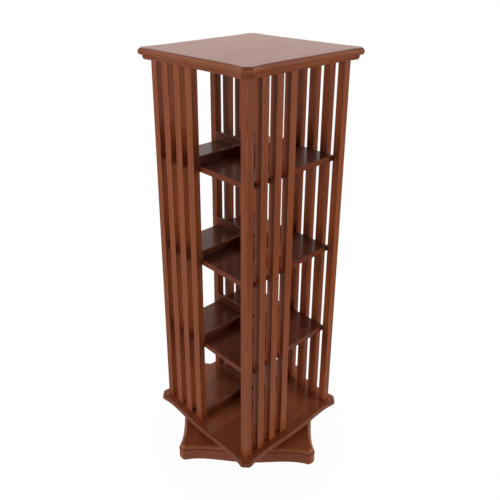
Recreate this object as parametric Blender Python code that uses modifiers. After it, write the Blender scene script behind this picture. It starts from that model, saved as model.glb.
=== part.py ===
"""A four-tier revolving bookcase in polished mahogany, modelled in metres with +Z up.

The square case of slats and shelves turns about a steel pole that stands on a moulded plinth.
The origin is on the floor, under the middle of the plinth. The plinth stands at 45 degrees to the case.
Seen from above, the four sides of the case follow each other round like a pinwheel: every side has a
corner post and its slats in one half, and stands open for books in the other half.
"""

import math

import bmesh
import bpy
from mathutils import Matrix, Vector

OBJECT_NAME = "revolving_bookcase"

SIDES = {"front": 0, "right": 1, "back": 2, "left": 3}  # quarter turns about +Z from the side at -Y
CORNERS = {"front_left": 0, "front_right": 1, "back_right": 2, "back_left": 3}
TIERS = ["bottom", "low", "mid", "high"]  # each stands on the board or shelf of its name

# Driving dimensions, in metres.
FIT_GAP = 0.0003  # between pieces that touch
CASE_HALF = 0.220  # axis to the outer faces of the slats
CLEAR_HEIGHT = 0.312  # between one shelf and the next
LOWEST_CLEAR_HEIGHT = 0.315  # between the bottom board and the lowest shelf
SHELF_THICKNESS = 0.019
SHELF_HOUSING = 0.002  # how far the shelves' corners go into the posts
SLAT_WIDTH = 0.029
SLAT_DEPTH = 0.025
SLATS_PER_SIDE = 3
EDGE_SOFTENING = 0.0012

STOP_HEIGHT = 0.033  # low strips that keep the books from being pushed through
STOP_THICKNESS = 0.010
STOP_CLEARANCE = 0.0064  # between the pole and the strips, and so the last slats, round it

TOP_OVERHANG = 0.029  # the widest line of the edge beyond the case, in the middle of a side
TOP_EAR_OVERHANG = 0.038  # the same at the corner ears
EAR_FLARE = 0.090  # length over which a side of the top swings out to its ear
TOP_CANT = 0.023
TOP_THICKNESS = 0.022
TOP_ROUND = 0.0105  # of the edge, above and below its middle
MOULDING_HEIGHT = 0.015
MOULDING_SETBACK = 0.010  # from the widest line of the top board
MOULDING_ROUND = 0.011
MOULDING_LEDGE = 0.023  # of its inner edge, behind the posts

BOTTOM_OVERHANG = 0.0225  # of the hollows in a side, beyond the case
BOTTOM_SWELL = 0.0065  # swell of the middle of a side beyond its hollows
BOTTOM_EAR_RISE = 0.0055
BOTTOM_EAR_RUN = 0.077  # from a hollow's lowest place to the corner
BOTTOM_CANT = 0.021
BOTTOM_CORNER_RADIUS = 0.014  # at both ends of the cant
BOTTOM_THICKNESS = 0.022
BOTTOM_ROUND = 0.0095
EDGE_FLAT = 0.0005  # least half height of a board's edge left upright by its rounds

TURNING_GAP = 0.013  # between the plinth and the bottom board
PLINTH_BASE_HEIGHT = 0.044
PLINTH_TOP_HEIGHT = 0.012
PLINTH_OVERHANG = 0.016  # of the hollows in a side, beyond the case
PLINTH_SWELL = 0.010
PLINTH_EAR_RISE = 0.008
PLINTH_EAR_RUN = 0.076
PLINTH_CANT = 0.016
PLINTH_CORNER_RADIUS = 0.018
PLINTH_OVOLO = 0.011
PLINTH_QUIRK = 0.002
PLINTH_FOOT_ROUND = 0.004
PLINTH_TURN = math.radians(45)

POLE_RADIUS = 0.014
POLE_WALL = 0.004
POLE_SEAT_FLOOR = 0.009  # of wood left under the pole's foot
POLE_CLEARANCE = 0.003  # in the shelves
PIVOT_RADIUS = 0.006
PIVOT_SHANK_LENGTH = 0.030
PIVOT_COLLAR_HEIGHT = 0.0024
PIVOT_CLEARANCE = 0.0016  # between the collar and the plate's boss
PLATE_RADIUS = 0.048
PLATE_THICKNESS = 0.004
PLATE_BOSS_WALL = 0.009
PLATE_BOSS_HEIGHT = 0.014
FLANGE_RADIUS = 0.055
FLANGE_THICKNESS = 0.005
FLANGE_BOSS_WALL = 0.010
FLANGE_CLEARANCE = 0.0024  # between the flange's boss and the bush
BUSH_WALL = 0.005
BUSH_RIM_WIDTH = 0.007
BUSH_RIM_HEIGHT = 0.002
SCREW_CIRCLE = 0.037
SCREW_HEAD_RADIUS = 0.0045
SCREW_HEAD_HEIGHT = 0.0026
SCREW_SHANK_RADIUS = 0.0022
SCREW_LENGTH = 0.016

# How finely round shapes are divided.
FLARE_STEPS = 5
EDGE_STEPS = 4
SWELL_STEPS = 12
CORNER_STEPS = 3
ROUND_STEPS = 32
SMALL_STEPS = 12

# The plan, worked out from the case.
POST_SIDE = SLAT_DEPTH + SHELF_HOUSING
SHELF_HALF = CASE_HALF - SLAT_DEPTH - FIT_GAP
WELL_HALF = POLE_RADIUS + STOP_CLEARANCE  # last slat to the middle of the side
SLAT_PITCH = (CASE_HALF - POST_SIDE - WELL_HALF) / SLATS_PER_SIDE
SLAT_GAP = SLAT_PITCH - SLAT_WIDTH
TOP_FLAT_HALF = CASE_HALF + TOP_OVERHANG
TOP_EAR_HALF = CASE_HALF + TOP_EAR_OVERHANG
BOTTOM_HOLLOW_HALF = CASE_HALF + BOTTOM_OVERHANG
BOTTOM_HOLLOW_AT = BOTTOM_HOLLOW_HALF - BOTTOM_EAR_RUN
PLINTH_HOLLOW_HALF = CASE_HALF + PLINTH_OVERHANG
PLINTH_HOLLOW_AT = PLINTH_HOLLOW_HALF - PLINTH_EAR_RUN

# Heights, worked out from the floor up.
PLINTH_HEIGHT = PLINTH_BASE_HEIGHT + PLINTH_TOP_HEIGHT
BOTTOM_LOW = PLINTH_HEIGHT + TURNING_GAP
BOTTOM_HIGH = BOTTOM_LOW + BOTTOM_THICKNESS
LOW_SHELF_HIGH = BOTTOM_HIGH + LOWEST_CLEAR_HEIGHT + SHELF_THICKNESS
TIER_PITCH = CLEAR_HEIGHT + SHELF_THICKNESS
TIER_FLOORS = {tier: LOW_SHELF_HIGH + number * TIER_PITCH for number, tier in enumerate(TIERS[1:])}
TIER_FLOORS["bottom"] = BOTTOM_HIGH
MOULDING_LOW = TIER_FLOORS["high"] + CLEAR_HEIGHT
TOP_LOW = MOULDING_LOW + MOULDING_HEIGHT

# The bearings, stacked with their clearances.
BUSH_RADIUS = POLE_RADIUS + BUSH_WALL
BUSH_LOW = BOTTOM_LOW - FIT_GAP - BUSH_RIM_HEIGHT
FLANGE_LOW = PLINTH_HEIGHT + FIT_GAP
FLANGE_HIGH = BUSH_LOW - FLANGE_CLEARANCE
PLATE_HIGH = TOP_LOW - FIT_GAP
PLATE_LOW = PLATE_HIGH - PLATE_THICKNESS
PLATE_BOSS_LOW = PLATE_LOW - PLATE_BOSS_HEIGHT
PIVOT_TIP = PLATE_LOW - FIT_GAP
COLLAR_HIGH = PLATE_BOSS_LOW - PIVOT_CLEARANCE
POLE_TOP = COLLAR_HIGH - PIVOT_COLLAR_HEIGHT - FIT_GAP


def clear_scene():
    for thing in list(bpy.data.objects):
        bpy.data.objects.remove(thing)


def new_collection(name):
    collection = bpy.data.collections.new(name)
    bpy.context.scene.collection.children.link(collection)
    return collection


def principled(name, colour, roughness, metallic=0.0):
    material = bpy.data.materials.new(name)
    material.use_nodes = True
    shader = material.node_tree.nodes["Principled BSDF"]
    shader.inputs["Base Color"].default_value = (*colour, 1.0)
    shader.inputs["Roughness"].default_value = roughness
    shader.inputs["Metallic"].default_value = metallic
    material.diffuse_color = (*colour, 1.0)
    return material


def empty(name, turn=0.0):
    holder = bpy.data.objects.new(name, None)
    holder.rotation_euler.z = turn
    PARTS.objects.link(holder)
    return holder


def place(name, mesh, material, holder):
    """Makes a piece of the bookcase from a mesh, held by one of the two empties on the turning axis."""
    piece = bpy.data.objects.new(name, mesh)
    piece.data.materials.append(material)
    piece.parent = holder
    PARTS.objects.link(piece)
    return piece


def place_cutter(name, mesh, holder=None):
    cutter = bpy.data.objects.new(name, mesh)
    cutter.hide_render = True
    cutter.display_type = "WIRE"
    cutter.parent = holder
    CUTTERS.objects.link(cutter)
    return cutter


def cut(piece, cutter, operation="DIFFERENCE"):
    boolean = piece.modifiers.new(cutter.name, "BOOLEAN")
    boolean.operation = operation
    boolean.object = cutter
    boolean.solver = "EXACT"


def soften(piece, width=EDGE_SOFTENING):
    bevel = piece.modifiers.new("softened edges", "BEVEL")
    bevel.width = width
    bevel.segments = 1
    bevel.limit_method = "ANGLE"


def mesh_of(shape, name):
    bmesh.ops.recalc_face_normals(shape, faces=shape.faces)
    mesh = bpy.data.meshes.new(name)
    shape.to_mesh(mesh)
    shape.free()
    return mesh


def add_box(shape, low, high):
    low, high = Vector(low), Vector(high)
    size = high - low
    matrix = Matrix.Translation((low + high) / 2) @ Matrix.Diagonal((*size, 1))
    bmesh.ops.create_cube(shape, size=1, matrix=matrix)


def box_mesh(name, low, high, quarter_turns=0):
    """A box between two corners, swung about the case's axis by quarter turns."""
    shape = bmesh.new()
    add_box(shape, low, high)
    turn = Matrix.Rotation(math.radians(90) * quarter_turns, 3, "Z")
    bmesh.ops.rotate(shape, verts=shape.verts, matrix=turn)
    return mesh_of(shape, name)


def rod_mesh(name, radius, low, high, steps=ROUND_STEPS):
    shape = bmesh.new()
    middle = Matrix.Translation((0, 0, (low + high) / 2))
    bmesh.ops.create_cone(
        shape, cap_ends=True, segments=steps, radius1=radius, radius2=radius, depth=high - low, matrix=middle
    )
    return mesh_of(shape, name)


def turn_profile(piece, steps):
    """Spins the profile that a piece's mesh holds about +Z."""
    screw = piece.modifiers.new("turned", "SCREW")
    screw.axis = "Z"
    screw.angle = math.radians(360)
    screw.steps = steps
    screw.render_steps = steps
    screw.use_merge_vertices = True
    screw.merge_threshold = 0.00001
    screw.use_smooth_shade = False


def profile_mesh(name, points, closed=False):
    """A line of (radius, height) points, running down the outer side."""
    shape = bmesh.new()
    verts = [shape.verts.new((radius, 0, height)) for radius, height in points]
    for upper, lower in zip(verts, verts[1:]):
        shape.edges.new((upper, lower))
    if closed:
        shape.edges.new((verts[-1], verts[0]))
    mesh = bpy.data.meshes.new(name)
    shape.to_mesh(mesh)
    shape.free()
    return mesh


def four_sides(side):
    """Repeats the points of the side at -Y, which run towards +X, round all four sides."""
    outline = []
    for quarter in range(4):
        turn = Matrix.Rotation(math.radians(90) * quarter, 2)
        outline += [turn @ Vector(point) for point in side]
    return outline


def eared_outline(flat_half, ear_half, cant):
    """A square whose sides swing out in a hollow curve to ears, and whose corners are cut off at 45 degrees."""
    end = ear_half - cant
    flare = [i / FLARE_STEPS for i in range(FLARE_STEPS + 1)]
    right = [(end - EAR_FLARE * (1 - t), -flat_half - (ear_half - flat_half) * t * t) for t in flare]
    left = [(-x, y) for x, y in reversed(right)]
    return four_sides(left + right)


def serpentine_outline(hollow_half, swell, hollow_at, ear_rise, cant, corner_radius):
    """A square whose sides swell in the middle, dip to a hollow each side of it and rise to ears at the corners.
    The corners are cut off at 45 degrees, with both ends of the cut rounded."""
    ear_half = hollow_half + ear_rise
    end = ear_half - cant - corner_radius * math.tan(math.radians(22.5))
    swelling = [hollow_at * i / SWELL_STEPS for i in range(-SWELL_STEPS, SWELL_STEPS + 1)]
    middle = [(x, -hollow_half - swell * math.cos(math.pi / 2 * x / hollow_at) ** 2) for x in swelling]
    rising = [i / FLARE_STEPS for i in range(1, FLARE_STEPS + 1)]
    right = [(hollow_at + (end - hollow_at) * t, -hollow_half - ear_rise * t * t) for t in rising]
    left = [(-x, y) for x, y in reversed(right)]
    tip = []
    for x, y, start in ((end, corner_radius - ear_half, -90), (ear_half - corner_radius, -end, -45)):
        angles = [math.radians(start + 45 * i / CORNER_STEPS) for i in range(CORNER_STEPS + 1)]
        tip += [(x + corner_radius * math.cos(a), y + corner_radius * math.sin(a)) for a in angles]
    return four_sides(left + middle + right + tip[1:-1])


def board_mesh(name, outline, low, high, upper=(), lower=()):
    """A flat board between two heights, whose edge steps in by (inset, rise) pairs above and below them."""
    shape = bmesh.new()
    ground = shape.faces.new([shape.verts.new((x, y, low)) for x, y in outline])
    ground.normal_update()
    made = bmesh.ops.extrude_face_region(shape, geom=[ground])
    raised = [item for item in made["geom"] if isinstance(item, bmesh.types.BMVert)]
    bmesh.ops.translate(shape, verts=raised, vec=(0, 0, high - low))
    bmesh.ops.recalc_face_normals(shape, faces=shape.faces)
    shape.faces.ensure_lookup_table()
    flats = [face for face in shape.faces if abs(face.normal.z) > 0.9]
    flats.sort(key=lambda face: face.normal.z)
    for face, steps in ((flats[1], upper), (flats[0], lower)):
        for inset, rise in steps:
            bmesh.ops.inset_region(shape, faces=[face], thickness=inset, depth=rise, use_even_offset=True)
    return mesh_of(shape, name)


def quarter_round(radius):
    """(inset, rise) steps of a quarter round that starts upright and ends flat."""
    angles = [math.radians(90) * i / EDGE_STEPS for i in range(EDGE_STEPS + 1)]
    return [
        (radius * (math.cos(a) - math.cos(b)), radius * (math.sin(b) - math.sin(a)))
        for a, b in zip(angles, angles[1:])
    ]


def rounded_board(name, outline, low, high, radius):
    """A board whose edge is rounded above and below, as far as its thickness lets it."""
    radius = min(radius, (high - low) / 2 - EDGE_FLAT)
    edge = quarter_round(radius)
    return board_mesh(name, outline, low + radius, high - radius, upper=edge, lower=edge)


def around(count, radius):
    """(x, y) of points spaced evenly round the axis."""
    turns = [math.radians(360) * (i + 0.5) / count for i in range(count)]
    return [(radius * math.cos(a), radius * math.sin(a)) for a in turns]


def screw_profile(clearance):
    """A countersunk wood screw whose head's top is at height 0, grown by a clearance."""
    head, shank = SCREW_HEAD_RADIUS + clearance, SCREW_SHANK_RADIUS + clearance
    return [
        (0, clearance),
        (head, clearance),
        (shank, -SCREW_HEAD_HEIGHT - clearance),
        (shank, -SCREW_LENGTH + 2 * SCREW_SHANK_RADIUS),
        (0, -SCREW_LENGTH - clearance),
    ]


def add_screws(name, height, upward, pieces, holder):
    """Screws on a circle, their heads' tops at one height, with their holes cut in the pieces they pass through."""
    for number, (x, y) in enumerate(around(4, SCREW_CIRCLE), 1):
        screw = place(f"{name}_{number}", profile_mesh(name, screw_profile(0)), BRASS, holder)
        hole = place_cutter(f"cut_{name}_{number}", profile_mesh(name, screw_profile(FIT_GAP)), holder)
        for thing in (screw, hole):
            thing.location = (x, y, height)
            thing.rotation_euler.x = math.pi if upward else 0
            turn_profile(thing, SMALL_STEPS)
        for piece in pieces:
            cut(piece, hole)


def make_plinth():
    sides = (PLINTH_SWELL, PLINTH_HOLLOW_AT, PLINTH_EAR_RISE, PLINTH_CANT, PLINTH_CORNER_RADIUS)
    outline = serpentine_outline(PLINTH_HOLLOW_HALF, *sides)
    quirk_low = PLINTH_BASE_HEIGHT - FIT_GAP - PLINTH_QUIRK
    foot = min(PLINTH_FOOT_ROUND, quirk_low - EDGE_FLAT)
    mesh = board_mesh(
        "plinth_base", outline, foot, quirk_low, upper=[(PLINTH_QUIRK, PLINTH_QUIRK)], lower=quarter_round(foot)
    )
    base = place("plinth_base", mesh, MAHOGANY_PLINTH, PLINTH)

    outline = serpentine_outline(PLINTH_HOLLOW_HALF - PLINTH_QUIRK, *sides)
    ovolo = min(PLINTH_OVOLO, PLINTH_TOP_HEIGHT - EDGE_FLAT)
    mesh = board_mesh(
        "plinth_top", outline, PLINTH_BASE_HEIGHT, PLINTH_HEIGHT - ovolo, upper=quarter_round(ovolo)
    )
    top = place("plinth_top", mesh, MAHOGANY_PLINTH, PLINTH)

    bore = POLE_RADIUS + FIT_GAP
    pole_seat = place_cutter(
        "cut_pole_seat", rod_mesh("pole_seat", bore, POLE_SEAT_FLOOR - FIT_GAP, 2 * PLINTH_HEIGHT)
    )
    cut(base, pole_seat)
    cut(top, pole_seat)

    boss, step = POLE_RADIUS + FLANGE_BOSS_WALL, FLANGE_LOW + FLANGE_THICKNESS
    profile = [
        (bore, FLANGE_HIGH),
        (boss, FLANGE_HIGH),
        (boss, step),
        (FLANGE_RADIUS, step),
        (FLANGE_RADIUS, FLANGE_LOW),
        (bore, FLANGE_LOW),
    ]
    flange = place("pole_flange", profile_mesh("pole_flange", profile, closed=True), IRON, PLINTH)
    turn_profile(flange, ROUND_STEPS)
    add_screws("flange_screw", step, False, [flange, top, base], PLINTH)


def make_pole():
    """The steel tube that the case turns on, with the hardened pivot in its upper end."""
    bore = POLE_RADIUS - POLE_WALL
    profile = [
        (bore, POLE_TOP),
        (POLE_RADIUS, POLE_TOP),
        (POLE_RADIUS, POLE_SEAT_FLOOR),
        (bore, POLE_SEAT_FLOOR),
    ]
    pole = place("centre_pole", profile_mesh("centre_pole", profile, closed=True), STEEL, PLINTH)
    turn_profile(pole, ROUND_STEPS)

    shank, collar, foot = bore - FIT_GAP, POLE_RADIUS - EDGE_SOFTENING, POLE_TOP - PIVOT_SHANK_LENGTH
    nose = [
        (PIVOT_RADIUS * math.sin(a), PIVOT_TIP - PIVOT_RADIUS * (1 - math.cos(a)))
        for a in (math.radians(90) * i / EDGE_STEPS for i in range(EDGE_STEPS + 1))
    ]
    profile = nose + [
        (PIVOT_RADIUS, COLLAR_HIGH),
        (collar, COLLAR_HIGH),
        (collar, POLE_TOP + FIT_GAP),
        (shank, POLE_TOP + FIT_GAP),
        (shank, foot),
        (0, foot),
    ]
    pivot = place("pivot_pin", profile_mesh("pivot_pin", profile), STEEL, PLINTH)
    turn_profile(pivot, ROUND_STEPS)


def make_bottom_board():
    outline = serpentine_outline(
        BOTTOM_HOLLOW_HALF, BOTTOM_SWELL, BOTTOM_HOLLOW_AT, BOTTOM_EAR_RISE, BOTTOM_CANT, BOTTOM_CORNER_RADIUS
    )
    mesh = rounded_board("bottom_board", outline, BOTTOM_LOW, BOTTOM_HIGH, BOTTOM_ROUND)
    board = place("bottom_board", mesh, MAHOGANY_CASE, CASE)

    bore, rim, step = POLE_RADIUS + FIT_GAP, BUSH_RADIUS + BUSH_RIM_WIDTH, BOTTOM_LOW - FIT_GAP
    profile = [
        (bore, BOTTOM_HIGH),
        (BUSH_RADIUS, BOTTOM_HIGH),
        (BUSH_RADIUS, step),
        (rim, step),
        (rim, BUSH_LOW),
        (bore, BUSH_LOW),
    ]
    bush = place("pole_bush", profile_mesh("pole_bush", profile, closed=True), BRONZE, CASE)
    turn_profile(bush, ROUND_STEPS)
    mesh = rod_mesh("bush_bore", BUSH_RADIUS + FIT_GAP, BOTTOM_LOW - BUSH_RADIUS, BOTTOM_HIGH + BUSH_RADIUS)
    cut(board, place_cutter("cut_bush_bore", mesh))


def make_shelves():
    """The shelves between the tiers. Returns the cutter that houses their corners in the posts."""
    bore = rod_mesh("shelf_bore", POLE_RADIUS + POLE_CLEARANCE, BOTTOM_HIGH, TOP_LOW)
    shelf_bore = place_cutter("cut_shelf_bore", bore)
    housings = bmesh.new()
    reach = SHELF_HALF + FIT_GAP
    for name in TIERS[1:]:
        high = TIER_FLOORS[name]
        low = high - SHELF_THICKNESS
        mesh = box_mesh("shelf", (-SHELF_HALF, -SHELF_HALF, low), (SHELF_HALF, SHELF_HALF, high))
        shelf = place(f"shelf_{name}", mesh, MAHOGANY_SHELF, CASE)
        cut(shelf, shelf_bore)
        add_box(housings, (-reach, -reach, low - FIT_GAP), (reach, reach, high + FIT_GAP))
    return place_cutter("cut_shelf_housings", mesh_of(housings, "shelf_housings"))


def make_uprights(housings):
    """Corner posts and slats, seen from outside in the left half of each side."""
    low = BOTTOM_HIGH + FIT_GAP
    high = MOULDING_LOW - FIT_GAP
    inner = CASE_HALF - POST_SIDE
    for corner, quarters in CORNERS.items():
        mesh = box_mesh("post", (-CASE_HALF, -CASE_HALF, low), (-inner, -inner, high), quarters)
        post = place(f"post_{corner}", mesh, MAHOGANY_CASE, CASE)
        soften(post)
        cut(post, housings)
    for side, quarters in SIDES.items():
        for number in range(SLATS_PER_SIDE):
            start = -CASE_HALF + POST_SIDE + SLAT_GAP + number * SLAT_PITCH
            near = (start, -CASE_HALF, low)
            far = (start + SLAT_WIDTH, -CASE_HALF + SLAT_DEPTH, high)
            slat = place(f"slat_{side}_{number + 1}", box_mesh("slat", near, far, quarters), MAHOGANY_CASE, CASE)
            soften(slat)


def make_stops():
    """Four low strips on every shelf, each from behind a side's last slat to the next strip, round the pole."""
    for tier in TIERS:
        low = TIER_FLOORS[tier] + FIT_GAP
        for side, quarters in SIDES.items():
            near = (-WELL_HALF - STOP_THICKNESS, -SHELF_HALF, low)
            far = (-WELL_HALF, WELL_HALF - FIT_GAP, low + STOP_HEIGHT)
            mesh = box_mesh("book_stop", near, far, quarters)
            stop = place(f"stop_{tier}_{side}", mesh, MAHOGANY_SHELF, CASE)
            soften(stop)


def make_top():
    outline = eared_outline(TOP_FLAT_HALF, TOP_EAR_HALF, TOP_CANT)
    mesh = rounded_board("top_board", outline, TOP_LOW, TOP_LOW + TOP_THICKNESS, TOP_ROUND)
    board = place("top_board", mesh, MAHOGANY_TOP, CASE)

    bore = PIVOT_RADIUS + FIT_GAP
    boss = PIVOT_RADIUS + PLATE_BOSS_WALL
    profile = [
        (0, PLATE_HIGH),
        (PLATE_RADIUS, PLATE_HIGH),
        (PLATE_RADIUS, PLATE_LOW),
        (boss, PLATE_LOW),
        (boss, PLATE_BOSS_LOW),
        (bore, PLATE_BOSS_LOW),
        (bore, PIVOT_TIP + FIT_GAP),
        (0, PIVOT_TIP + FIT_GAP),
    ]
    plate = place("pivot_plate", profile_mesh("pivot_plate", profile), IRON, CASE)
    turn_profile(plate, ROUND_STEPS)
    add_screws("plate_screw", PLATE_LOW, True, [plate, board], CASE)


def make_top_mouldings():
    """The moulding under the top board: four mitred lengths that the posts and slats meet."""
    outline = eared_outline(TOP_FLAT_HALF - MOULDING_SETBACK, TOP_EAR_HALF - MOULDING_SETBACK, TOP_CANT)
    high = TOP_LOW - FIT_GAP
    radius = min(MOULDING_ROUND, high - MOULDING_LOW - EDGE_FLAT)
    mesh = board_mesh("moulding", outline, MOULDING_LOW + radius, high, lower=quarter_round(radius))
    opening_half = CASE_HALF - POST_SIDE - MOULDING_LEDGE
    reach = 2 * MOULDING_HEIGHT
    opening = box_mesh(
        "opening", (-opening_half, -opening_half, MOULDING_LOW - reach), (opening_half, opening_half, TOP_LOW + reach)
    )
    cut_opening = place_cutter("cut_moulding_opening", opening)
    for side, quarters in SIDES.items():
        wedge = place_cutter(f"cut_mitre_{side}", wedge_mesh(quarters, reach))
        moulding = place(f"top_moulding_{side}", mesh, MAHOGANY_TOP, CASE)
        cut(moulding, cut_opening)
        cut(moulding, wedge, "INTERSECT")


def wedge_mesh(quarters, reach):
    """A prism over one side's quarter of the plan, clear of its neighbours by the fitting gap."""
    tip = FIT_GAP / math.sqrt(2)
    far = 2 * TOP_EAR_HALF
    shape = bmesh.new()
    plan = [(0, -tip), (far - tip, -far), (-far + tip, -far)]
    ground = shape.faces.new([shape.verts.new((x, y, MOULDING_LOW - reach)) for x, y in plan])
    made = bmesh.ops.extrude_face_region(shape, geom=[ground])
    raised = [item for item in made["geom"] if isinstance(item, bmesh.types.BMVert)]
    bmesh.ops.translate(shape, verts=raised, vec=(0, 0, MOULDING_HEIGHT + 2 * reach))
    turn = Matrix.Rotation(math.radians(90) * quarters, 3, "Z")
    bmesh.ops.rotate(shape, verts=shape.verts, matrix=turn)
    return mesh_of(shape, "wedge")


clear_scene()
PARTS = new_collection(OBJECT_NAME)
CUTTERS = new_collection("cutters")
CUTTERS.hide_render = True

MAHOGANY_CASE = principled("mahogany_case", (0.150, 0.046, 0.020), 0.25)
MAHOGANY_SHELF = principled("mahogany_shelf", (0.110, 0.032, 0.016), 0.22)
MAHOGANY_TOP = principled("mahogany_top", (0.170, 0.052, 0.022), 0.15)
MAHOGANY_PLINTH = principled("mahogany_plinth", (0.140, 0.042, 0.019), 0.25)
STEEL = principled("steel", (0.42, 0.42, 0.43), 0.35, 1.0)
IRON = principled("cast_iron", (0.06, 0.06, 0.065), 0.6, 0.8)
BRONZE = principled("bronze", (0.35, 0.22, 0.10), 0.4, 1.0)
BRASS = principled("brass", (0.60, 0.42, 0.16), 0.3, 1.0)

PLINTH = empty("plinth_axis", PLINTH_TURN)
CASE = empty("case_axis")

make_plinth()
make_pole()
make_bottom_board()
make_uprights(make_shelves())
make_stops()
make_top()
make_top_mouldings()
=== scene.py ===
"""The looks of a four-tier revolving bookcase in French-polished mahogany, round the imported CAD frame.

Metres, +Z up, as the frame. The case's sides face -Y, +X, +Y and -X; the plinth stands at 45 degrees to them.
"""

import math
import random

import bmesh
import bpy
from mathutils import Matrix, Vector


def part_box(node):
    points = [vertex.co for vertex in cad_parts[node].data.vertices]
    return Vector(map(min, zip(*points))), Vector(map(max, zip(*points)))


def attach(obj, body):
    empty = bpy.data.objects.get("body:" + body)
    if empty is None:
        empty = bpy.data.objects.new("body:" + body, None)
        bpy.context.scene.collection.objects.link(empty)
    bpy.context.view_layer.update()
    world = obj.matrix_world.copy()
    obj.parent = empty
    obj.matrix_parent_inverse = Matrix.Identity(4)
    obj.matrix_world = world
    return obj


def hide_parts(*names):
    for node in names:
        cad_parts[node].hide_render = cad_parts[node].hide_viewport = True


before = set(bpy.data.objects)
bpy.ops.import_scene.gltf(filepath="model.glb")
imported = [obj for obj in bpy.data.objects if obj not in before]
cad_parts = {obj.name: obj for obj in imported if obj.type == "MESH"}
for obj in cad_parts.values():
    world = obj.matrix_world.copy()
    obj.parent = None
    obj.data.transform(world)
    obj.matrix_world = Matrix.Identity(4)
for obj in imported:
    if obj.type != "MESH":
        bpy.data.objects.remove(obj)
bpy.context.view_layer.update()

# Shapes that the frame's boxes don't give. The heights and the outer sizes come from the frame.
EAR_FLARE = 0.090  # length over which a side swings out to its ear
TOP_EAR_RISE = 0.009  # of an ear beyond the middle of its side
TOP_CANT = 0.023
TOP_ROUND = 0.0105
MOULDING_ROUND = 0.011
MOULDING_INNER_HALF = 0.170  # axis to its inner edge, behind the posts
BOTTOM_SWELL = 0.0065  # of the middle of a side beyond its hollows
BOTTOM_EAR_RISE = 0.0055
BOTTOM_EAR_RUN = 0.077  # from a hollow's lowest place to the corner
BOTTOM_CANT = 0.021
BOTTOM_CORNER_RADIUS = 0.014  # at both ends of the cant
BOTTOM_ROUND = 0.0095
PLINTH_HOLLOW_HALF = 0.236
PLINTH_SWELL = 0.010
PLINTH_EAR_RISE = 0.008
PLINTH_EAR_RUN = 0.076
PLINTH_CANT = 0.016
PLINTH_CORNER_RADIUS = 0.018
PLINTH_OVOLO = 0.011
PLINTH_QUIRK = 0.002
PLINTH_FOOT_ROUND = 0.004
POLE_SEAT_FLOOR = 0.009  # of wood left under the pole's foot
BUSH_RIM_WIDTH = 0.007
POLE_CLEARANCE = 0.003
FIT_GAP = 0.0003
LATH_ROUND = 0.0016  # rubbed edges of posts, slats and book stops
SHELF_ROUND = 0.0012
PLUG_RADIUS = 0.0026  # over the screws that hold the slats to the shelves
PLUG_TAPER = 0.9  # a plug's outer radius as a share of its inner one
PLUG_PROUD = 0.0002
SAME_PLACE = 1e-5  # points closer than this to a flat face lie in it

# How finely round shapes are divided.
FLARE_STEPS = 14
EDGE_STEPS = 8
SWELL_STEPS = 36
CORNER_STEPS = 7
BORE_STEPS = 48
PLUG_STEPS = 14
LATH_STEPS = 4

QUARTER = math.radians(90)
EIGHTH = math.radians(45)
SHARP_ANGLE = math.radians(32)  # between faces that meet in a crisp line
SIDES = ["front", "right", "back", "left"]  # quarter turns about +Z from the side at -Y
SHELVES = ["low", "mid", "high"]
SLAT_NUMBERS = [1, 2, 3]

rng = random.Random(23)


# --- Materials -----------------------------------------------------------------------------------------


def colour(code):
    """An sRGB hex colour as linear RGBA."""
    shares = [int(code[i : i + 2], 16) / 255 for i in (1, 3, 5)]
    return [c / 12.92 if c <= 0.04045 else ((c + 0.055) / 1.055) ** 2.4 for c in shares] + [1.0]


def add(tree, kind, inputs=(), **settings):
    """Adds a node. Inputs are (name or number, value or another node's output)."""
    node = tree.nodes.new(kind)
    for name, value in settings.items():
        setattr(node, name, value)
    for key, value in inputs:
        if isinstance(value, bpy.types.NodeSocket):
            tree.links.new(value, node.inputs[key])
        else:
            node.inputs[key].default_value = value
    return node


def new_material(name):
    material = bpy.data.materials.new(name)
    material.use_nodes = True
    material.node_tree.nodes.clear()
    return material, material.node_tree


GRAIN_UP = (0, 0, 0)
GRAIN_ALONG_X = (0, QUARTER, 0)
GRAIN_ALONG_Y = (-QUARTER, 0, 0)
GRAIN_ALONG_PLINTH = (0, QUARTER, EIGHTH)

FIGURE_SIZE = (0.020, 0.020, 0.42)  # broad ribbons of colour in the board
STREAK_SIZE = (0.0050, 0.0050, 0.20)  # growth lines, about 1.5 mm wide, drawn wider so that they show
PORE_SIZE = (0.0009, 0.0009, 0.011)  # open pores, 0.2 mm wide and 3 mm long, drawn larger so that they show
CLOUD_SIZE = (0.07, 0.07, 0.07)  # uneven polish
BOARD_STEP = (2.3, 3.1, 4.7)  # metres through the grain between the darkest board and the lightest

# The stretch of each pattern's noise that its contrast is spread over, and how strongly it shows.
FULL_RANGE = (0.0, 1.0)
FIGURE_RANGE = (0.32, 0.68)
FIGURE_WARP = 0.5
FIGURE_SHARE = 0.3
STREAK_RANGE = (0.30, 0.70)
STREAK_SHARE = 0.3
PORE_RANGE = (0.62, 0.74)
PORE_SHARE = 0.35
PORE_DEPTH = 0.6  # against the height of a streak
GRAIN_BUMP = 0.10
GRAIN_HEIGHT = 0.0003
BOARD_TONES = (-0.12, 0.52)  # of the darkest board and the lightest, before the figure and the streaks
MIDDLE_TONE = 0.5
WORN_AND_HIGHLIGHT_RANGE = (0.35, 0.6)  # where the cloud of the polish lets worn wood and the painted highlight show
POLISH_RANGE = (0.3, 0.7)
POLISH_ROUGHNESS = (0.40, 0.52)

PORE_COLOUR = "#2A100A"
# Pale worn wood; the same colour also makes the painted highlight on the plinth's ovolo.
WORN_AND_HIGHLIGHT_COLOUR = "#A9683A"
# Painted shade: darker edges, joints and lines where shade falls.
PAINTED_SHADE_COLOUR = "#34140B"


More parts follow.
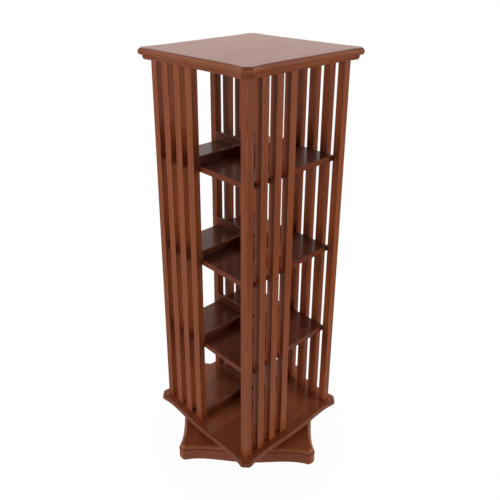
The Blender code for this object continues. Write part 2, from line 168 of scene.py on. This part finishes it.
def mahogany(name, grain, light, middle, dark):
    """Solid mahogany, planed and French polished: a warm red-brown, ribbon-figured wood with short dark
    pores, under a thin clear shellac film that mirrors at low angles. Above 0 the wear_and_painted_light
    attribute gives pale worn wood, and a painted highlight on the plinth's ovolo; below 0 it gives painted
    shade."""
    material, tree = new_material(name)
    place = add(tree, "ShaderNodeTexCoord").outputs["Object"]
    board = add(tree, "ShaderNodeAttribute", attribute_name="board").outputs["Fac"]
    wear_and_painted_light = add(tree, "ShaderNodeAttribute", attribute_name="wear_and_painted_light").outputs["Fac"]
    step = add(tree, "ShaderNodeVectorMath", enumerate((board, BOARD_STEP)), operation="MULTIPLY").outputs[0]
    moved = add(tree, "ShaderNodeVectorMath", enumerate((place, step)), operation="ADD").outputs[0]

    def pattern(size, detail, contrast, shown=FULL_RANGE, distortion=0.0):
        """Noise of a real size along the grain, with one stretch of it spread over the values shown."""
        along = [("Vector", moved), ("Rotation", grain), ("Scale", size)]
        along = add(tree, "ShaderNodeMapping", along, vector_type="TEXTURE").outputs[0]
        noise = [("Vector", along), ("Scale", 1.0), ("Detail", detail), ("Distortion", distortion)]
        noise = add(tree, "ShaderNodeTexNoise", noise).outputs[0]
        return add(tree, "ShaderNodeMapRange", enumerate((noise, *contrast, *shown))).outputs[0]

    figure = pattern(FIGURE_SIZE, 2.0, FIGURE_RANGE, distortion=FIGURE_WARP)
    streak = pattern(STREAK_SIZE, 3.0, STREAK_RANGE)
    pore = pattern(PORE_SIZE, 1.0, PORE_RANGE)
    cloud = pattern(CLOUD_SIZE, 2.0, WORN_AND_HIGHLIGHT_RANGE)
    roughness = pattern(CLOUD_SIZE, 2.0, POLISH_RANGE, POLISH_ROUGHNESS)

    tone = add(tree, "ShaderNodeMapRange", enumerate((board, *FULL_RANGE, *BOARD_TONES))).outputs[0]
    for mark, share in ((figure, FIGURE_SHARE), (streak, STREAK_SHARE)):
        tone = add(tree, "ShaderNodeMath", enumerate((mark, share, tone)), operation="MULTIPLY_ADD").outputs[0]
    to_middle = add(tree, "ShaderNodeMapRange", enumerate((tone, 0.0, MIDDLE_TONE, *FULL_RANGE))).outputs[0]
    to_light = add(tree, "ShaderNodeMapRange", enumerate((tone, MIDDLE_TONE, 1.0, *FULL_RANGE))).outputs[0]
    pores = add(tree, "ShaderNodeMath", enumerate((pore, PORE_SHARE)), operation="MULTIPLY").outputs[0]
    # Pale worn wood on worn edges, and a painted highlight on the plinth's ovolo.
    wear_and_highlight = add(tree, "ShaderNodeMath", enumerate((wear_and_painted_light, cloud)), operation="MULTIPLY").outputs[0]
    # Painted shade, where the attribute is below 0.
    painted_shade = add(tree, "ShaderNodeMath", enumerate((wear_and_painted_light, -1.0)), operation="MULTIPLY", use_clamp=True)

    wood = colour(dark)
    for share, code in (
        (to_middle, middle),
        (to_light, light),
        (pores, PORE_COLOUR),
        (wear_and_highlight, WORN_AND_HIGHLIGHT_COLOUR),
        (painted_shade.outputs[0], PAINTED_SHADE_COLOUR),
    ):
        layers = [(0, share), (6, wood), (7, colour(code))]
        wood = add(tree, "ShaderNodeMix", layers, data_type="RGBA").outputs[2]

    height = add(tree, "ShaderNodeMath", enumerate((pore, -PORE_DEPTH, streak)), operation="MULTIPLY_ADD")
    relief = [("Strength", GRAIN_BUMP), ("Distance", GRAIN_HEIGHT), ("Height", height.outputs[0])]
    bump = add(tree, "ShaderNodeBump", relief)
    shader = add(
        tree,
        "ShaderNodeBsdfPrincipled",
        [
            ("Base Color", wood),
            ("Roughness", roughness),
            ("IOR", 1.5),
            ("Specular IOR Level", 0.1),
            ("Normal", bump.outputs[0]),
            ("Coat Weight", 1.0),
            ("Coat Roughness", 0.18),
            ("Coat IOR", 1.5),
        ],
    )
    add(tree, "ShaderNodeOutputMaterial", [("Surface", shader.outputs[0])])
    return material


GRIT_RANGE = (0.3, 0.7)
GRIT_SMOOTHER = 0.06  # below a metal's middle roughness, where it is rubbed
GRIT_ROUGHER = 0.08
GRIT_BUMP = 0.2
GRIT_HEIGHT = 0.0002


def metal(name, light, dark, roughness, grit, metallic=1.0):
    """A metal whose grey varies over a grit of a real size: turned steel, rough iron, bronze or brass."""
    material, tree = new_material(name)
    place = add(tree, "ShaderNodeTexCoord").outputs["Object"]
    sized = add(tree, "ShaderNodeMapping", [("Vector", place), ("Scale", grit)], vector_type="TEXTURE")
    noise = [("Vector", sized.outputs[0]), ("Scale", 1.0), ("Detail", 3.0)]
    noise = add(tree, "ShaderNodeTexNoise", noise).outputs[0]
    tint = add(tree, "ShaderNodeMix", [(0, noise), (6, colour(dark)), (7, colour(light))], data_type="RGBA")
    shown = (roughness - GRIT_SMOOTHER, roughness + GRIT_ROUGHER)
    rough = add(tree, "ShaderNodeMapRange", enumerate((noise, *GRIT_RANGE, *shown)))
    relief = [("Strength", GRIT_BUMP), ("Distance", GRIT_HEIGHT), ("Height", noise)]
    bump = add(tree, "ShaderNodeBump", relief)
    shader = add(
        tree,
        "ShaderNodeBsdfPrincipled",
        [
            ("Base Color", tint.outputs[2]),
            ("Metallic", metallic),
            ("Roughness", rough.outputs[0]),
            ("Normal", bump.outputs[0]),
        ],
    )
    add(tree, "ShaderNodeOutputMaterial", [("Surface", shader.outputs[0])])
    return material


# --- Shapes ------------------------------------------------------------------------------------------


def four_sides(side):
    """Repeats the points of the side at -Y, which run towards +X, round all four sides."""
    outline = []
    for quarter in range(4):
        turn = Matrix.Rotation(QUARTER * quarter, 2)
        outline += [turn @ Vector(point) for point in side]
    return outline


def eared_outline(ear_half, ear_rise, cant):
    """A square whose sides swing out in a hollow curve to ears, with its corners cut off at 45 degrees."""
    end = ear_half - cant
    flare = [i / FLARE_STEPS for i in range(FLARE_STEPS + 1)]
    right = [(end - EAR_FLARE * (1 - t), -ear_half + ear_rise * (1 - t * t)) for t in flare]
    left = [(-x, y) for x, y in reversed(right)]
    return four_sides(left + right)


def serpentine_outline(hollow_half, swell, hollow_at, ear_rise, cant, corner_radius):
    """A square whose sides swell in the middle, dip to a hollow each side of it and rise to ears at the
    corners, which are cut off at 45 degrees with both ends of the cut rounded."""
    ear_half = hollow_half + ear_rise
    end = ear_half - cant - corner_radius * math.tan(EIGHTH / 2)
    swelling = [hollow_at * i / SWELL_STEPS for i in range(-SWELL_STEPS, SWELL_STEPS + 1)]
    middle = [(x, -hollow_half - swell * math.cos(QUARTER * x / hollow_at) ** 2) for x in swelling]
    rising = [i / FLARE_STEPS for i in range(1, FLARE_STEPS + 1)]
    right = [(hollow_at + (end - hollow_at) * t, -hollow_half - ear_rise * t * t) for t in rising]
    left = [(-x, y) for x, y in reversed(right)]
    tip = []
    for x, y, start in ((end, corner_radius - ear_half, -QUARTER), (ear_half - corner_radius, -end, -EIGHTH)):
        angles = [start + EIGHTH * i / CORNER_STEPS for i in range(CORNER_STEPS + 1)]
        tip += [(x + corner_radius * math.cos(a), y + corner_radius * math.sin(a)) for a in angles]
    return four_sides(left + middle + right + tip[1:-1])


def quarter_round(radius):
    """(inset, rise) steps of a quarter round that starts upright and ends flat."""
    angles = [QUARTER * i / EDGE_STEPS for i in range(EDGE_STEPS + 1)]
    return [
        (radius * (math.cos(a) - math.cos(b)), radius * (math.sin(b) - math.sin(a)))
        for a, b in zip(angles, angles[1:])
    ]


def board_shape(outline, low, high, upper=(), lower=()):
    """A flat board between two heights, whose edge steps in by (inset, rise) pairs above and below them."""
    shape = bmesh.new()
    ground = shape.faces.new([shape.verts.new((x, y, low)) for x, y in outline])
    ground.normal_update()
    made = bmesh.ops.extrude_face_region(shape, geom=[ground])
    raised = [item for item in made["geom"] if isinstance(item, bmesh.types.BMVert)]
    bmesh.ops.translate(shape, verts=raised, vec=(0, 0, high - low))
    bmesh.ops.recalc_face_normals(shape, faces=shape.faces)
    shape.faces.ensure_lookup_table()
    flats = sorted((face for face in shape.faces if abs(face.normal.z) > 0.9), key=lambda face: face.normal.z)
    for face, steps in ((flats[1], upper), (flats[0], lower)):
        for inset, rise in steps:
            bmesh.ops.inset_region(shape, faces=[face], thickness=inset, depth=rise, use_even_offset=True)
    return shape


def lath_shape(low, high, radius):
    """A straight length of wood between two corners, with its edges rounded."""
    shape = bmesh.new()
    matrix = Matrix.Translation((low + high) / 2) @ Matrix.Diagonal((*(high - low), 1))
    bmesh.ops.create_cube(shape, size=1, matrix=matrix)
    bmesh.ops.bevel(
        shape,
        geom=shape.edges[:],
        offset=radius,
        affect="EDGES",
        segments=LATH_STEPS,
        profile=0.5,
        material=-1,
        clamp_overlap=True,
    )
    return shape


def slice_off(shape, point, normal):
    """Cuts away what lies on the normal's side of a plane, and closes the cut."""
    geometry = shape.verts[:] + shape.edges[:] + shape.faces[:]
    bmesh.ops.bisect_plane(shape, geom=geometry, plane_co=point, plane_no=normal, clear_outer=True)
    open_edges = [edge for edge in shape.edges if edge.is_boundary]
    bmesh.ops.holes_fill(shape, edges=open_edges)


def bore(shape, radius, bottom=None):
    """A board's shape with a hole on the turning axis, right through it or down to a height."""
    heights = [vert.co.z for vert in shape.verts]
    low, high = min(heights), max(heights)
    start = 2 * low - high if bottom is None else bottom
    end = 2 * high - low
    cutter = bmesh.new()
    bmesh.ops.create_cone(
        cutter,
        cap_ends=True,
        segments=BORE_STEPS,
        radius1=radius,
        radius2=radius,
        depth=end - start,
        matrix=Matrix.Translation((0, 0, (start + end) / 2)),
    )
    made = []
    for label, part in (("bored", shape), ("drill", cutter)):
        bmesh.ops.recalc_face_normals(part, faces=part.faces)
        mesh = bpy.data.meshes.new(label)
        part.to_mesh(mesh)
        part.free()
        made.append(bpy.data.objects.new(label, mesh))
        bpy.context.scene.collection.objects.link(made[-1])
    board, drill = made
    cut = board.modifiers.new("bore", "BOOLEAN")
    cut.object = drill
    cut.solver = "EXACT"
    bpy.context.view_layer.update()
    result = bmesh.new()
    result.from_object(board, bpy.context.evaluated_depsgraph_get())
    for thing in made:
        data = thing.data
        bpy.data.objects.remove(thing)
        bpy.data.meshes.remove(data)
    return result


# --- Wear and painted light: above 0 worn pale wood and painted highlights, below 0 painted shade ------------

TIP_WEAR_REACH = 0.004  # of the line rubbed pale, beyond the ends of the top's cut corners
TIP_WEAR_HEIGHT = 0.0008  # half of its full height
DARK_LINE_HEIGHT = 0.0025  # of the painted dark reflection under the top's upper arris
# Painted dark reflection of a dim ceiling under the top's upper arris, and painted shade on the rest of its
# edge.
DARK_LINE_PAINTED_REFLECTION = -0.6
TOP_EDGE_PAINTED_SHADE = -0.2
# Painted shade on the bottom board's edge.
BOTTOM_EDGE_PAINTED_SHADE = -0.3
PLINTH_JOINT_PAINTED_SHADE = -1.0  # painted shade in the joint between the plinth's two boards
# Painted shade at the foot of the plinth's upper board, and a painted highlight round the top of its ovolo.
OVOLO_FOOT_PAINTED_SHADE = -0.6
OVOLO_ARRIS_PAINTED_HIGHLIGHT = 0.8
ARRIS_HIGHLIGHT_HEIGHT = 0.0035  # of the painted highlight round the top of the plinth's ovolo


def no_wear(point):
    return 0.0


def rubbed_box(corner_low, corner_high):
    """Wear for a lath: full on the rounded edges, none on its flat faces."""

    def wear_and_painted_light(point):
        corners = (corner_low, corner_high)
        flat = any(abs(point[axis] - corner[axis]) < SAME_PLACE for corner in corners for axis in range(3))
        return 0.0 if flat else 1.0

    return wear_and_painted_light


def worn_tips_and_shaded_edge(ear_half, cant, low, high):
    """Wear and painted light for an eared board: a narrow line worn pale round the widest part of its
    edge on the cut corners, a painted dark reflection under its upper arris, and painted shade below that."""

    def wear_and_painted_light(point):
        at_tip = abs(point.x) + abs(point.y) > 2 * ear_half - cant - TIP_WEAR_REACH
        widest = abs(point.z - (low + high) / 2) < TIP_WEAR_HEIGHT
        if at_tip and widest:
            return 1.0
        if point.z > high - SAME_PLACE:
            return 0.0
        # Painted dark reflection under the upper arris, painted shade on the rest of the edge.
        return DARK_LINE_PAINTED_REFLECTION if point.z > high - DARK_LINE_HEIGHT else TOP_EDGE_PAINTED_SHADE

    return wear_and_painted_light


def painted_shade_edge(high):
    """Painted shade on a board below its flat upper face: its edge and underside are darker."""

    def wear_and_painted_light(point):
        return BOTTOM_EDGE_PAINTED_SHADE if point.z < high - SAME_PLACE else 0.0

    return wear_and_painted_light


def painted_shade_joint(high):
    """Painted shade on the plinth's base: its flat upper face is dark where the upper board stands on it."""

    def wear_and_painted_light(point):
        return PLINTH_JOINT_PAINTED_SHADE if point.z > high - SAME_PLACE else 0.0

    return wear_and_painted_light


def ovolo_shade_and_highlight(low, high):
    """Painted light for the plinth's upper board: painted shade at its foot, a painted highlight round the top
    of its ovolo.
    """

    def wear_and_painted_light(point):
        if point.z < low + SAME_PLACE:
            return OVOLO_FOOT_PAINTED_SHADE
        return OVOLO_ARRIS_PAINTED_HIGHLIGHT if high - ARRIS_HIGHLIGHT_HEIGHT < point.z < high - SAME_PLACE else 0.0

    return wear_and_painted_light


# --- The pieces ----------------------------------------------------------------------------------------

# How light the wood of pieces with these words in their names is, from 0 to 1. The rest fall in the range.
TONE_RANGE = (0.35, 0.65)
# The tones set here are partly painted shade: they darken the back posts, the back and right slats, the book
# stops and the top's mouldings, which stand in shade, and the front left post, which the lamps light too
# brightly.
TONES_AND_PAINTED_SHADE = {
    "post_front_left": 0.15,
    "post_back_left": 0.25,
    "post_back_right": 0.1,
    "slat_right": 0.0,
    "slat_back": 0.0,
    "stop_": 0.0,
    "top_moulding_": 0.0,
}


def add_piece(name, shape, finish, body, nodes=(), wear_and_painted_light=no_wear):
    """Makes a piece from a shape. Its tone also moves it through the grain, alike for pieces of one tone."""
    bmesh.ops.recalc_face_normals(shape, faces=shape.faces)
    if shape.calc_volume(signed=True) < 0:  # a bored board can come out with all its faces turned inwards
        bmesh.ops.reverse_faces(shape, faces=shape.faces)
    mesh = bpy.data.meshes.new(name)
    shape.to_mesh(mesh)
    shape.free()
    mesh.shade_smooth()
    mesh.set_sharp_from_angle(angle=SHARP_ANGLE)
    tone = rng.uniform(*TONE_RANGE)
    for word, set_tone in TONES_AND_PAINTED_SHADE.items():
        if word in name:
            tone = set_tone
    board = mesh.attributes.new("board", "FLOAT", "POINT")
    board.data.foreach_set("value", [tone] * len(mesh.vertices))
    worn_and_painted = mesh.attributes.new("wear_and_painted_light", "FLOAT", "POINT")
    worn_and_painted.data.foreach_set("value", [wear_and_painted_light(vertex.co) for vertex in mesh.vertices])
    mesh.materials.append(finish)
    piece = bpy.data.objects.new(name, mesh)
    bpy.context.scene.collection.objects.link(piece)
    even = piece.modifiers.new("even shading", "WEIGHTED_NORMAL")
    even.keep_sharp = True
    even.weight = 100
    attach(piece, body)
    if nodes:
        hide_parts(*nodes)


CASE_WOOD = {
    axis: mahogany(f"mahogany_case_grain_{axis}", grain, "#9E552F", "#8D4827", "#74381E")
    for axis, grain in (("up", GRAIN_UP), ("x", GRAIN_ALONG_X))
}
# A darker copy of the case's mahogany for the shelves and book stops inside the case, partly painted shade.
SHELF_WOOD_WITH_PAINTED_SHADE = {
    axis: mahogany(f"mahogany_shelf_painted_shade_grain_{axis}", grain, "#7E3A20", "#6C301B", "#562415")
    for axis, grain in (("x", GRAIN_ALONG_X), ("y", GRAIN_ALONG_Y))
}
TOP_WOOD = {
    axis: mahogany(f"mahogany_top_grain_{axis}", grain, "#A25A30", "#924C28", "#783A1E")
    for axis, grain in (("x", GRAIN_ALONG_X), ("y", GRAIN_ALONG_Y))
}
PLINTH_WOOD = mahogany("mahogany_plinth_grain", GRAIN_ALONG_PLINTH, "#A35734", "#924A2B", "#783A22")
PLUG_WOOD = mahogany("mahogany_plug_end_grain", GRAIN_ALONG_X, "#5A2A18", "#46200F", "#2E140C")

STEEL = metal("turned_mild_steel", "#B9BBBE", "#8E9093", 0.34, (0.004, 0.004, 0.0006))
IRON = metal("cast_iron", "#4A4A4C", "#2C2C2E", 0.55, (0.0015, 0.0015, 0.0015), 0.9)
BRONZE = metal("oiled_bearing_bronze", "#A8794A", "#7C5630", 0.38, (0.004, 0.004, 0.0008))
BRASS = metal("slotted_brass", "#D2AA5E", "#A9813E", 0.32, (0.001, 0.001, 0.001))


def half_width(node):
    low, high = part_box(node)
    return (high.x - low.x) / 2


def make_posts_and_slats():
    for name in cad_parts:
        if name.startswith(("post_", "slat_")):
            low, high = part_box(name)
            shape = lath_shape(low, high, LATH_ROUND)
            wear_and_painted_light = rubbed_box(low, high)
            add_piece(f"polished_{name}", shape, CASE_WOOD["up"], "case", [name], wear_and_painted_light)


def make_plugs():
    """Small wooden plugs over the screws that hold each slat to the three shelves."""
    levels = [sum(corner.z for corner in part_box(f"shelf_{name}")) / 2 for name in SHELVES]
    for quarter, side in enumerate(SIDES):
        shape = bmesh.new()
        for number in SLAT_NUMBERS:
            low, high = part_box(f"slat_{side}_{number}")
            middle = (low + high) / 2
            outward = Matrix.Rotation(QUARTER * quarter, 3, "Z") @ Vector((0, -1, 0))
            face = outward * max(abs(low.dot(outward)), abs(high.dot(outward)))
            across = middle - outward * middle.dot(outward)
            for level in levels:
                centre = Vector((across.x + face.x, across.y + face.y, level))
                turn = outward.to_track_quat("Z", "Y").to_matrix().to_4x4()
                bmesh.ops.create_cone(
                    shape,
                    cap_ends=True,
                    segments=PLUG_STEPS,
                    radius1=PLUG_RADIUS,
                    radius2=PLUG_RADIUS * PLUG_TAPER,
                    depth=2 * PLUG_PROUD,
                    matrix=Matrix.Translation(centre) @ turn,
                )
        add_piece(f"screw_plugs_{side}", shape, PLUG_WOOD, "case")


def make_shelves():
    for name in SHELVES:
        low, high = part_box(f"shelf_{name}")
        shape = bore(lath_shape(low, high, SHELF_ROUND), half_width("centre_pole") + POLE_CLEARANCE)
        node = f"shelf_{name}"
        add_piece(f"polished_{node}", shape, SHELF_WOOD_WITH_PAINTED_SHADE["x"], "case", [node])


def make_book_stops():
    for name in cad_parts:
        if name.startswith("stop_"):
            low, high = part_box(name)
            grain = "x" if high.x - low.x > high.y - low.y else "y"
            shape = lath_shape(low, high, LATH_ROUND)
            wear_and_painted_light = rubbed_box(low, high)
            add_piece(f"polished_{name}", shape, SHELF_WOOD_WITH_PAINTED_SHADE[grain], "case", [name], wear_and_painted_light)


def make_bottom_board():
    low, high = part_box("bottom_board")
    edge = quarter_round(BOTTOM_ROUND)
    hollow_half = high.x - BOTTOM_SWELL
    outline = serpentine_outline(
        hollow_half,
        BOTTOM_SWELL,
        hollow_half - BOTTOM_EAR_RUN,
        BOTTOM_EAR_RISE,
        BOTTOM_CANT,
        BOTTOM_CORNER_RADIUS,
    )
    shape = board_shape(outline, low.z + BOTTOM_ROUND, high.z - BOTTOM_ROUND, edge, edge)
    shape = bore(shape, half_width("pole_bush") - BUSH_RIM_WIDTH + FIT_GAP)
    name, wear_and_painted_light = "polished_bottom_board", painted_shade_edge(high.z)
    add_piece(name, shape, CASE_WOOD["x"], "case", ["bottom_board"], wear_and_painted_light)


def make_top_board():
    low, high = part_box("top_board")
    edge = quarter_round(TOP_ROUND)
    outline = eared_outline(high.x, TOP_EAR_RISE, TOP_CANT)
    shape = board_shape(outline, low.z + TOP_ROUND, high.z - TOP_ROUND, edge, edge)
    wear_and_painted_light = worn_tips_and_shaded_edge(high.x, TOP_CANT, low.z, high.z)
    add_piece("polished_top_board", shape, TOP_WOOD["x"], "case", ["top_board"], wear_and_painted_light)


def make_top_mouldings():
    """Four mitred lengths under the top board."""
    low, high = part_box("top_moulding_front")
    outline = eared_outline(-low.y, TOP_EAR_RISE, TOP_CANT)
    for quarter, side in enumerate(SIDES):
        shape = board_shape(outline, low.z + MOULDING_ROUND, high.z, (), quarter_round(MOULDING_ROUND))
        for across in (-1, 1):
            slice_off(shape, (0, -FIT_GAP / 2, 0), (across, 1, 0))
        slice_off(shape, (0, -MOULDING_INNER_HALF, 0), (0, 1, 0))
        bmesh.ops.rotate(shape, verts=shape.verts, matrix=Matrix.Rotation(QUARTER * quarter, 3, "Z"))
        grain = "x" if quarter % 2 == 0 else "y"
        name = f"top_moulding_{side}"
        add_piece(f"polished_{name}", shape, TOP_WOOD[grain], "case", [name])


def make_plinth():
    """The moulded base and the ovolo board on it, at 45 degrees to the case, bored for the pole."""
    hollow_at = PLINTH_HOLLOW_HALF - PLINTH_EAR_RUN
    sides = (PLINTH_SWELL, hollow_at, PLINTH_EAR_RISE, PLINTH_CANT, PLINTH_CORNER_RADIUS)
    pole_seat = half_width("centre_pole") + FIT_GAP
    turn = Matrix.Rotation(EIGHTH, 3, "Z")

    low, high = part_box("plinth_base")
    shape = board_shape(
        serpentine_outline(PLINTH_HOLLOW_HALF, *sides),
        low.z + PLINTH_FOOT_ROUND,
        high.z - PLINTH_QUIRK,
        [(PLINTH_QUIRK, PLINTH_QUIRK)],
        quarter_round(PLINTH_FOOT_ROUND),
    )
    bmesh.ops.rotate(shape, verts=shape.verts, matrix=turn)
    shape = bore(shape, pole_seat, POLE_SEAT_FLOOR - FIT_GAP)
    name, wear_and_painted_light = "polished_plinth_base", painted_shade_joint(high.z)
    add_piece(name, shape, PLINTH_WOOD, "plinth", ["plinth_base"], wear_and_painted_light)

    low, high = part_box("plinth_top")
    shape = board_shape(
        serpentine_outline(PLINTH_HOLLOW_HALF - PLINTH_QUIRK, *sides),
        low.z,
        high.z - PLINTH_OVOLO,
        quarter_round(PLINTH_OVOLO),
    )
    bmesh.ops.rotate(shape, verts=shape.verts, matrix=turn)
    shape = bore(shape, pole_seat)
    name, wear_and_painted_light = "polished_plinth_top", ovolo_shade_and_highlight(low.z, high.z)
    add_piece(name, shape, PLINTH_WOOD, "plinth", ["plinth_top"], wear_and_painted_light)


def finish_metal_parts():
    for name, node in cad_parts.items():
        if name in ("centre_pole", "pivot_pin"):
            finish = STEEL
        elif name in ("pole_flange", "pivot_plate"):
            finish = IRON
        elif name == "pole_bush":
            finish = BRONZE
        elif name.startswith(("flange_screw_", "plate_screw_")):
            finish = BRASS
        else:
            continue
        for material_slot in node.material_slots:
            material_slot.material = finish


# --- The studio ----------------------------------------------------------------------------------------

FLOOR_HALF = 8.0
SHADOW_REACH = (0.4, 1.2)  # from the axis, over which the shadow on the floor fades out
SHADOW_SHARE = (0.06, 0.0)
WHITE_GLOW = 1.02  # of the floor as the camera sees it
PAPER_EDGE = (0.6, 1.4)  # how far out to the right and front the paper gives way to the studio's dark floor
PAPER_GLOW = (0.45, 0.16)  # light that the paper and the dark floor throw back up
GLOSSY_DIMMING = -0.5  # of that light in the polish

RIGHT_AND_FRONT = (math.sqrt(0.5), -math.sqrt(0.5), 0)
RIGHT_AND_BACK = (math.sqrt(0.5), math.sqrt(0.5), 0)


def floor_finish():
    """A white paper floor. The camera sees it lit up to white, with the bookcase's soft shadow near it. For
    light and reflections the paper ends on the right and in front, where the studio's floor is dark."""
    material, tree = new_material("white_paper_floor")
    place = add(tree, "ShaderNodeTexCoord").outputs["Object"]
    reach = add(tree, "ShaderNodeVectorMath", [(0, place)], operation="LENGTH").outputs["Value"]
    near = add(tree, "ShaderNodeMapRange", enumerate((reach, *SHADOW_REACH, *SHADOW_SHARE))).outputs[0]
    lit = add(tree, "ShaderNodeBsdfDiffuse", [("Color", colour("#F4F3F1"))]).outputs[0]
    white = add(tree, "ShaderNodeEmission", [("Color", colour("#FFFFFF")), ("Strength", WHITE_GLOW)])
    seen = add(tree, "ShaderNodeMixShader", [(0, near), (1, white.outputs[0]), (2, lit)]).outputs[0]
    out = add(tree, "ShaderNodeVectorMath", enumerate((place, RIGHT_AND_FRONT)), operation="DOT_PRODUCT")
    edge = (out.outputs["Value"], *PAPER_EDGE, *PAPER_GLOW)
    beyond = add(tree, "ShaderNodeMapRange", enumerate(edge)).outputs[0]
    rays = add(tree, "ShaderNodeLightPath").outputs
    dimming = enumerate((rays["Is Glossy Ray"], GLOSSY_DIMMING, 1.0))
    dimmed = add(tree, "ShaderNodeMath", dimming, operation="MULTIPLY_ADD").outputs[0]
    strength = add(tree, "ShaderNodeMath", enumerate((beyond, dimmed)), operation="MULTIPLY").outputs[0]
    paper = add(tree, "ShaderNodeEmission", [("Color", colour("#FFFAF4")), ("Strength", strength)]).outputs[0]
    shader = add(tree, "ShaderNodeMixShader", [(0, rays["Is Camera Ray"]), (1, paper), (2, seen)]).outputs[0]
    add(tree, "ShaderNodeOutputMaterial", [("Surface", shader)])
    return material


def make_floor():
    shape = bmesh.new()
    bmesh.ops.create_grid(shape, x_segments=2, y_segments=2, size=FLOOR_HALF)
    mesh = bpy.data.meshes.new("paper_floor")
    shape.to_mesh(mesh)
    shape.free()
    mesh.materials.append(floor_finish())
    floor = bpy.data.objects.new("paper_floor", mesh)
    bpy.context.scene.collection.objects.link(floor)


BACKDROP_TOP = (0.45, 0.78)  # where the backdrop gives way to the ceiling, as the upward part of a direction
BACKDROP_GLOW = (0.58, 0.08)  # of the backdrop and of the ceiling, in reflections
AMBIENT_TURN = (0.2, 0.9)  # from the rest of the room to the lit backdrop, as the part of a direction to it
AMBIENT_GLOW = (0.09, 0.9)  # of the grey light from all round, and from the backdrop


def make_world():
    """White for the camera; for reflections a pale backdrop under a dim ceiling; soft grey light, more of it
    from the backdrop's side."""
    world = bpy.data.worlds.new("studio")
    world.use_nodes = True
    bpy.context.scene.world = world
    tree = world.node_tree
    tree.nodes.clear()
    rays = add(tree, "ShaderNodeLightPath").outputs
    direction = add(tree, "ShaderNodeTexCoord").outputs["Generated"]
    up = add(tree, "ShaderNodeSeparateXYZ", [(0, direction)]).outputs["Z"]
    backdrop = add(tree, "ShaderNodeMapRange", enumerate((up, *BACKDROP_TOP, *BACKDROP_GLOW))).outputs[0]
    facing = add(tree, "ShaderNodeVectorMath", enumerate((direction, RIGHT_AND_BACK)), operation="DOT_PRODUCT")
    turn = (facing.outputs["Value"], *AMBIENT_TURN, *AMBIENT_GLOW)
    soft_light = add(tree, "ShaderNodeMapRange", enumerate(turn)).outputs[0]
    glossy = add(tree, "ShaderNodeMath", enumerate((rays["Is Glossy Ray"], backdrop)), operation="MULTIPLY")
    ambient = add(tree, "ShaderNodeMath", enumerate((rays["Is Diffuse Ray"], soft_light)), operation="MULTIPLY")
    strength = rays["Is Camera Ray"]
    for other in (rays["Is Transmission Ray"], glossy.outputs[0], ambient.outputs[0]):
        strength = add(tree, "ShaderNodeMath", enumerate((strength, other)), operation="MAXIMUM").outputs[0]
    background = add(tree, "ShaderNodeBackground", [("Color", colour("#FFFFFF")), ("Strength", strength)])
    add(tree, "ShaderNodeOutputWorld", [("Surface", background.outputs[0])])


# Place, what it points at, width in metres and power in watts.
SOFTBOXES = {
    "key_softbox": ((1.9, -2.4, 0.7), (0, 0, 0.9), 1.6, 80),
    "fill_softbox": ((-2.7, 0.6, 1.0), (0, 0, 0.7), 1.8, 52),
    "back_softbox": ((1.6, 1.9, 2.2), (0, 0, 0.8), 2.0, 42),
    "top_softbox": ((0, 0, 3.2), (0, 0, 0), 0.6, 26),
}


def make_softboxes():
    """Round lamps that light the bookcase and don't show in its polish."""
    for name, (place, target, width, power) in SOFTBOXES.items():
        light = bpy.data.lights.new(name, "AREA")
        light.shape = "DISK"
        light.size = width
        light.energy = power
        lamp = bpy.data.objects.new(name, light)
        lamp.location = place
        lamp.rotation_euler = (Vector(target) - Vector(place)).to_track_quat("-Z", "Y").to_euler()
        lamp.visible_glossy = False
        bpy.context.scene.collection.objects.link(lamp)


# The camera, fitted to the photograph's perspective with its shift left free.
CAMERA_PLACE = Vector((-1.2792, -1.3302, 1.7079))
CAMERA_HEADING = math.radians(-41.64)  # clockwise from +Y is negative
CAMERA_PITCH = math.radians(21.63)  # down
CAMERA_ROLL = math.radians(-0.51)
CAMERA_SENSOR = 36  # mm, as the lens
CAMERA_LENS = 42.35
CAMERA_SHIFT = (0.0442, -0.1289)


def make_camera():
    data = bpy.data.cameras.new("camera")
    data.sensor_width = CAMERA_SENSOR
    data.lens = CAMERA_LENS
    data.shift_x, data.shift_y = CAMERA_SHIFT
    camera = bpy.data.objects.new("camera", data)
    heading = Matrix.Rotation(CAMERA_HEADING, 4, "Z")
    tilt = Matrix.Rotation(QUARTER - CAMERA_PITCH, 4, "X")
    roll = Matrix.Rotation(CAMERA_ROLL, 4, "Z")
    camera.matrix_world = Matrix.Translation(CAMERA_PLACE) @ heading @ tilt @ roll
    bpy.context.scene.collection.objects.link(camera)
    bpy.context.scene.camera = camera


make_posts_and_slats()
make_plugs()
make_shelves()
make_book_stops()
make_bottom_board()
make_top_board()
make_top_mouldings()
make_plinth()
finish_metal_parts()

make_floor()
make_world()
make_softboxes()
make_camera()

bpy.context.scene.view_settings.view_transform = "Standard"
